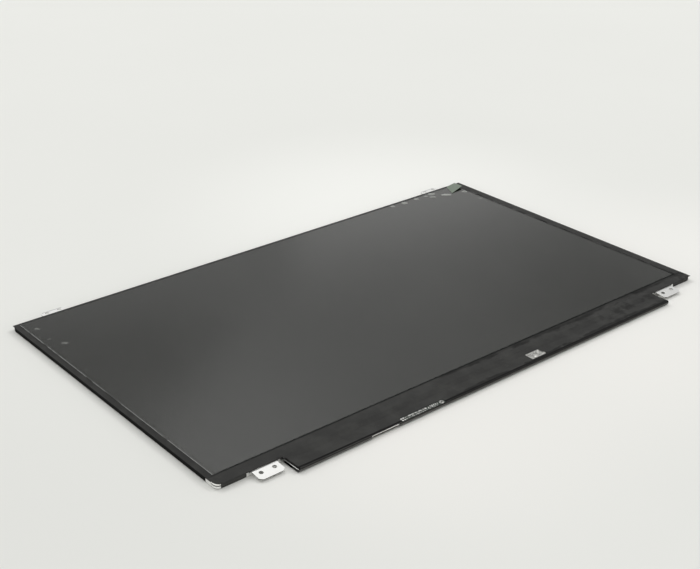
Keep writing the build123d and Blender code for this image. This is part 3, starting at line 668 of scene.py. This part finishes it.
metal = {"Metallic": 1.0}
filmGloss = {"Specular IOR Level": 0.0, "Coat Roughness": 0.12}
epoxy = paintMoulded((0.014, 0.014, 0.015), (0.026, 0.026, 0.027), 0.008)
ferrite = paintMoulded((0.055, 0.053, 0.052), (0.095, 0.092, 0.090), 0.02)
# connector plastic: pale, with its tone lowered as painted shade
shadedPaleSocket = paintMoulded(tone(146, 144, 140), tone(164, 162, 157), 0.006)
blackLatch = paintMoulded((0.016, 0.016, 0.016), (0.030, 0.030, 0.030), 0.006)
finishes = {
    "tray_metal": makeMaterial("rolledMetal", paintRolledMetal, metal),
    "white_plastic": makeMaterial("whiteFramePlastic", paintWhitePlastic),
    "black_tape": makeMaterial("blackEdgeTape", paintBlackTape, {"Specular IOR Level": 0.07}),
    "cover_film": makeMaterial("blackCoverFilm", paintCoverFilm, {"Specular IOR Level": 0.04}),
    "clear_film": makeMaterial("clearScreenFilm", paintClearFilm, filmGloss),
    "pull_film": makeMaterial("greenPullFilm", paintPullFilm),
    "polariser": makeMaterial("darkPolariser", paintPolariser, {"Specular IOR Level": 0.5}),
    "cell_glass": makeMaterial("cellGlass", paintCellGlass, {"Specular IOR Level": 0.15}),
    "white_sheet": makeMaterial("whiteOpticalSheet", paintWhiteSheet),
    "clear_plate": makeMaterial("lightGuidePlate", paintLightGuide, {"Transmission Weight": 0.6}),
    "flex_film": makeMaterial("amberFlex", paintFlexFilm),
    "emitter": makeMaterial("emitterPackage", paintEmitter),
    "board_laminate": makeMaterial("greenBoard", paintBoard, {"Specular IOR Level": 0.2}),
    "tin": makeMaterial("tinnedPad", paintTin, metal),
    "sticker_paper": makeMaterial("bareSticker", paintSticker),
    "chip_black": makeMaterial("blackEpoxy", epoxy),
    "capacitor_ceramic": makeMaterial("tanCeramic", paintCeramic),
    "ferrite": makeMaterial("greyFerrite", ferrite),
    "connector_plastic": makeMaterial("creamConnector", shadedPaleSocket),
    "shell_metal": makeMaterial("connectorShell", paintShell, metal),
    "connector_black": makeMaterial("blackLatch", blackLatch),
}
slotOf = {row["node"]: row["material_slot"] for row in frame["record"]["subparts"]}
for nodeName, node in frame["nodes"].items():
    node.data.materials.clear()
    node.data.materials.append(finishes[slotOf[nodeName]])
print("finishes made,", len(finishes))


def addPiece(name, mesh, nodeName):
    piece = bpy.data.objects.new(name, mesh)
    bpy.context.scene.collection.objects.link(piece)
    mesh.materials.append(finishes[slotOf[nodeName]])
    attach(piece, "root")
    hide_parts(nodeName)
    return piece


def spacedLines(low, high, coarse, fine, zones):  # coarse spacing, with fine spacing inside the zones
    lines = [low]
    while lines[-1] < high:
        inside = any(first <= lines[-1] < last for first, last in zones)
        ahead = [first for first, last in zones if first > lines[-1]]
        step = fine if inside else coarse
        following = lines[-1] + step
        if not inside and ahead and following > min(ahead):
            following = min(ahead)
        lines.append(min(following, high))
    return lines


def soft(value, low, high):  # 0 below low, 1 above high, soft between
    share = min(max((value - low) / (high - low), 0), 1)
    return share * share * (3 - 2 * share)


# Clear film over the screen

film = {
    "coarse": 5.0,  # mm between grid lines
    "fine": 0.6,
    "fineX": ((-176.0, -162.0), (104.0, 174.0)),
    "fineY": ((30.0, 40.0), (66.0, 107.0)),
    "bubbles": (  # x, y, half length, half width, height, whiteness of the painted reflection
        (-170.7, 96.0, 1.9, 1.3, 0.14, 0.34),
        (-166.5, 70.4, 2.3, 1.5, 0.16, 0.32),
        (-171.0, 80.3, 0.9, 0.7, 0.08, 0.25),
        (-172.2, 35.0, 0.8, 0.7, 0.08, 0.15),
        (111.0, 104.6, 2.0, 1.7, 0.16, 0.75),
        (121.6, 103.9, 2.6, 2.2, 0.22, 0.85),
        (133.3, 104.2, 2.2, 1.7, 0.18, 0.80),
        (142.0, 103.6, 2.0, 1.4, 0.16, 0.60),
        (148.2, 104.2, 3.0, 1.8, 0.22, 0.85),
        (145.1, 99.4, 2.6, 1.7, 0.20, 0.75),
        (155.6, 96.4, 4.4, 2.0, 0.26, 0.95),
        (170.4, 92.5, 2.4, 1.8, 0.20, 0.70),
        (170.0, 76.0, 2.2, 1.5, 0.12, 0.35),
    ),
    "heading": -39.65,  # of the long bubbles
    "edgeLine": 0.15,  # width of the pale left edge with its painted highlight
    "edgeShade": 1.7,  # width of the shaded right edge
    "edgeSoft": 0.5,
    "edgeWave": 0.5,
    "edgeReach": 9.0,
    "overRight": 1.6,  # how far the shaded edge goes on towards the tape
    "curl": 0.10,
    "curlReach": 0.7,
    "thickness": 0.022,
    "clearance": 0.030,
    "ripple": 0.004,
}


def buildClearFilm():
    low, high = (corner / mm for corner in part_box("protective_film"))
    high.x += film["overRight"]
    dark = high.x - film["edgeShade"]
    zones = ((low.x, low.x + 2.4), *film["fineX"])
    xs = spacedLines(low.x, dark - film["edgeSoft"], film["coarse"], film["fine"], zones)
    xs = sorted({*xs, low.x + film["edgeLine"], low.x + 2 * film["edgeLine"], dark, high.x})
    ys = spacedLines(low.y, high.y, film["coarse"], film["fine"], film["fineY"])
    turn = math.radians(film["heading"])

    def liftAt(x, y):
        brightestSheen = 0.0
        tallest = 0.0
        for middleX, middleY, length, width, height, white in film["bubbles"]:
            along = (x - middleX) * math.cos(turn) + (y - middleY) * math.sin(turn)
            across = (y - middleY) * math.cos(turn) - (x - middleX) * math.sin(turn)
            ragged = 1 + 0.35 * noise.noise(Vector((x / 1.1, y / 1.1, 5.0)))
            dome = max(0.0, ragged - (along / length) ** 2 - (across / width) ** 2)
            brightestSheen = max(brightestSheen, white * min(1.0, 2.4 * dome))
            tallest = max(tallest, height * min(1.0, dome) ** 0.7)
        return brightestSheen, tallest

    points, sheens, edges, shades, uppers = [], [], [], [], []
    for layer in (1, 0):
        for y in ys:
            uneven = 0.9 * noise.noise(Vector((1.7, y / 6, 0))) + 0.6 * noise.noise(Vector((6.1, y / 1.9, 0)))
            uneven = max(0.0, 0.34 + uneven)
            for x in xs:
                white, height = liftAt(x, y)
                curl = 1 - soft(x, low.x, low.x + film["curlReach"])
                ripple = film["ripple"] * (1 + noise.noise(Vector((x / 40, y / 40, 0))))
                wave = noise.noise(Vector((3.1, y / 7, 0))) + 0.6 * noise.noise(Vector((8.7, y / 2.6, 0)))
                pull = film["edgeWave"] * wave * soft(x, high.x - film["edgeReach"], dark) * (x < high.x)
                rise = film["clearance"] + height + ripple + film["curl"] * (0.5 + uneven) * curl ** 2
                points.append((x + min(pull, 0.6), y, low.z + film["thickness"] * layer + rise))
                sheens.append(white)
                uppers.append(layer)
                edges.append(min(1.0, uneven) if x <= low.x + film["edgeLine"] else 0.0)
                shades.append(max(0.4, min(1.0, 0.65 + 0.6 * wave)) if x >= dark else 0.0)
    columns, rows = len(xs), len(ys)
    under = columns * rows
    faces = []
    for j in range(rows - 1):
        for i in range(columns - 1):
            a = j * columns + i
            faces.append((a, a + 1, a + 1 + columns, a + columns))
            faces.append((under + a + columns, under + a + 1 + columns, under + a + 1, under + a))
    rim = [i for i in range(columns)]
    rim += [j * columns + columns - 1 for j in range(1, rows)]
    rim += [(rows - 1) * columns + i for i in range(columns - 2, -1, -1)]
    rim += [j * columns for j in range(rows - 2, 0, -1)]
    for a, b in zip(rim, rim[1:] + rim[:1]):
        faces.append((a, under + a, under + b, b))
    mesh = bpy.data.meshes.new("clearFilm")
    mesh.from_pydata([Vector(p) * mm for p in points], [], faces)
    mesh.attributes.new("lift", "FLOAT", "POINT").data.foreach_set("value", sheens)
    mesh.attributes.new("edge", "FLOAT", "POINT").data.foreach_set("value", edges)
    mesh.attributes.new("shaded", "FLOAT", "POINT").data.foreach_set("value", shades)
    mesh.attributes.new("upper", "FLOAT", "POINT").data.foreach_set("value", uppers)
    mesh.polygons.foreach_set("use_smooth", [True] * len(mesh.polygons))
    mesh.set_sharp_from_angle(angle=math.radians(50))
    return addPiece("clearFilm", mesh, "protective_film")


buildClearFilm()
print("clear film laid")

# Black film over the board strip

cover = {
    "cut": 1.6,  # mm between the cuts that let it wrinkle
    "wrinkle": 0.10,
    "creaseLength": 11.0,
    "creaseWidth": 4.5,
    "crumple": 0.45,
    "crumpleReach": 7.0,
    "flatBelow": 1.6,  # no wrinkles below this level
    "fullAbove": 2.35,
    "smoothEdge": 3.0,  # wrinkles die out this near the screen
    "notchEnds": (-74.0, -43.6),  # mm, notch over the pads
    "notchBack": -111.5,
    "notchDeeper": 1.1,  # cut back this much further
    "notchReach": 7.0,
    "notchAbove": 2.3,
}


def slicedCopy(nodeName, spacing):
    shape = bmesh.new()
    shape.from_mesh(frame["nodes"][nodeName].data)
    bmesh.ops.remove_doubles(shape, verts=shape.verts, dist=0.0005 * mm)
    bmesh.ops.dissolve_limit(shape, angle_limit=0.002, verts=shape.verts, edges=shape.edges)
    low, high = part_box(nodeName)
    for axis in (0, 1):
        count = int((high[axis] - low[axis]) / (spacing * mm))
        normal = Vector((axis == 0, axis == 1, 0))
        for i in range(1, count):
            at = normal * (low[axis] + (high[axis] - low[axis]) * i / count)
            geometry = shape.verts[:] + shape.edges[:] + shape.faces[:]
            bmesh.ops.bisect_plane(shape, geom=geometry, plane_co=at, plane_no=normal, dist=0.001 * mm)
    return shape


def buildBoardCover():
    shape = slicedCopy("board_cover_film", cover["cut"])
    low, high = (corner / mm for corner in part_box("control_board"))
    bedLow, bedHigh = (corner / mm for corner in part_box("board_sticker"))
    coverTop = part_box("board_cover_film")[1].y / mm
    for point in shape.verts:
        x, y, z = point.co / mm
        first, last = cover["notchEnds"]
        behind = y - cover["notchBack"]
        if first - 0.02 < x < last + 0.02 and behind > -0.02 and z > cover["notchAbove"]:
            y += cover["notchDeeper"] * max(0.0, 1 - behind / cover["notchReach"])
            point.co.y = y * mm
        free = soft(z, cover["flatBelow"], cover["fullAbove"])
        outside = max(bedLow.x - x, x - bedHigh.x, bedLow.y - y, y - bedHigh.y)
        free *= soft(outside, cover["cut"], 2 * cover["cut"])
        free *= soft(coverTop - y, 0.5, cover["smoothEdge"])
        crease = noise.noise(Vector((x / cover["creaseLength"], y / cover["creaseWidth"], 4.0)))
        fine = noise.noise(Vector((x / 3.7, y / 2.3, 9.0)))
        rise = cover["wrinkle"] * (max(0.0, 1 - abs(crease) * 3) ** 2 + 0.3 * max(0.0, fine))
        corner = math.hypot(x - low.x, y - low.y) / cover["crumpleReach"]
        rise += cover["crumple"] * max(0.0, 1 - corner) * (0.6 + noise.noise(Vector((x / 1.3, y / 1.3, 2.0))))
        point.co.z += max(0.0, rise) * free * mm
    mesh = bpy.data.meshes.new("boardCover")
    bmesh.ops.triangulate(shape, faces=[f for f in shape.faces if len(f.verts) > 4])
    shape.to_mesh(mesh)
    shape.free()
    mesh.polygons.foreach_set("use_smooth", [True] * len(mesh.polygons))
    mesh.set_sharp_from_angle(angle=math.radians(40))
    return addPiece("boardCover", mesh, "board_cover_film")


buildBoardCover()
print("board cover film wrinkled")

# Tinned pads in the notch of the cover film

pads = {
    "rows": (  # first x, y, count, pitch, width, length
        (-73.2, -112.6, 2, 1.45, 1.1, 0.9),
        (-73.2, -111.2, 2, 1.45, 1.1, 1.0),
        (-70.5, -112.6, 15, 0.8, 0.32, 0.9),
        (-70.5, -111.1, 15, 0.8, 0.45, 0.9),
        (-57.9, -112.5, 2, 1.45, 0.6, 0.7),
        (-57.9, -111.1, 2, 1.45, 1.1, 1.2),
        (-54.9, -112.0, 6, 1.25, 0.6, 0.8),
        (-54.3, -111.1, 6, 1.25, 0.6, 0.8),
        (-54.6, -112.9, 5, 1.25, 0.35, 0.4),
    ),
    "ring": (-45.6, -111.85),
    "ringRadii": (0.45, 1.45),
    "ringSides": 28,
}


def buildPads():
    low, high = (corner.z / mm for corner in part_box("edge_pads"))
    points, faces = [], []
    for firstX, y, count, pitch, width, length in pads["rows"]:
        for i in range(count):
            x = firstX + i * pitch
            a = len(points)
            around = [(-1, -1), (1, -1), (1, 1), (-1, 1)]
            points += [(x + p * width / 2, y + q * length / 2, z) for z in (low, high) for p, q in around]
            faces += [(a + 3, a + 2, a + 1, a), (a + 4, a + 5, a + 6, a + 7)]
            faces += [(a + j, a + (j + 1) % 4, a + 4 + (j + 1) % 4, a + 4 + j) for j in range(4)]
    middleX, middleY = pads["ring"]
    sides = pads["ringSides"]
    a = len(points)
    for radius, z in ((r, z) for z in (low, high) for r in pads["ringRadii"]):
        for i in range(sides):
            turn = 2 * math.pi * i / sides
            points.append((middleX + radius * math.cos(turn), middleY + radius * math.sin(turn), z))
    innerLow, outerLow, innerHigh, outerHigh = (a + i * sides for i in range(4))
    for i in range(sides):
        j = (i + 1) % sides
        faces.append((innerHigh + i, outerHigh + i, outerHigh + j, innerHigh + j))
        faces.append((innerLow + j, outerLow + j, outerLow + i, innerLow + i))
        faces.append((outerLow + i, outerLow + j, outerHigh + j, outerHigh + i))
        faces.append((innerLow + j, innerLow + i, innerHigh + i, innerHigh + j))
    mesh = bpy.data.meshes.new("tinnedPads")
    mesh.from_pydata([Vector(p) * mm for p in points], [], faces)
    return addPiece("tinnedPads", mesh, "edge_pads")


buildPads()
print("pads laid")

# Bare paper sticker on the cover film

sticker = {  # outline in mm from the lower left corner
    "outline": ((0.0, 0.1), (10.7, 0.0), (11.1, 1.5), (10.5, 2.2), (10.1, 3.9), (10.3, 5.9), (0.3, 5.9)),
}


def buildSticker():
    low, high = (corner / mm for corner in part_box("board_sticker"))
    count = len(sticker["outline"])
    points = [(low.x + x, low.y + y, z) for z in (low.z, high.z) for x, y in sticker["outline"]]
    faces = [tuple(range(count - 1, -1, -1)), tuple(range(count, 2 * count))]
    faces += [(i, (i + 1) % count, count + (i + 1) % count, count + i) for i in range(count)]
    mesh = bpy.data.meshes.new("paperSticker")
    mesh.from_pydata([Vector(p) * mm for p in points], [], faces)
    return addPiece("paperSticker", mesh, "board_sticker")


buildSticker()
print("sticker laid")
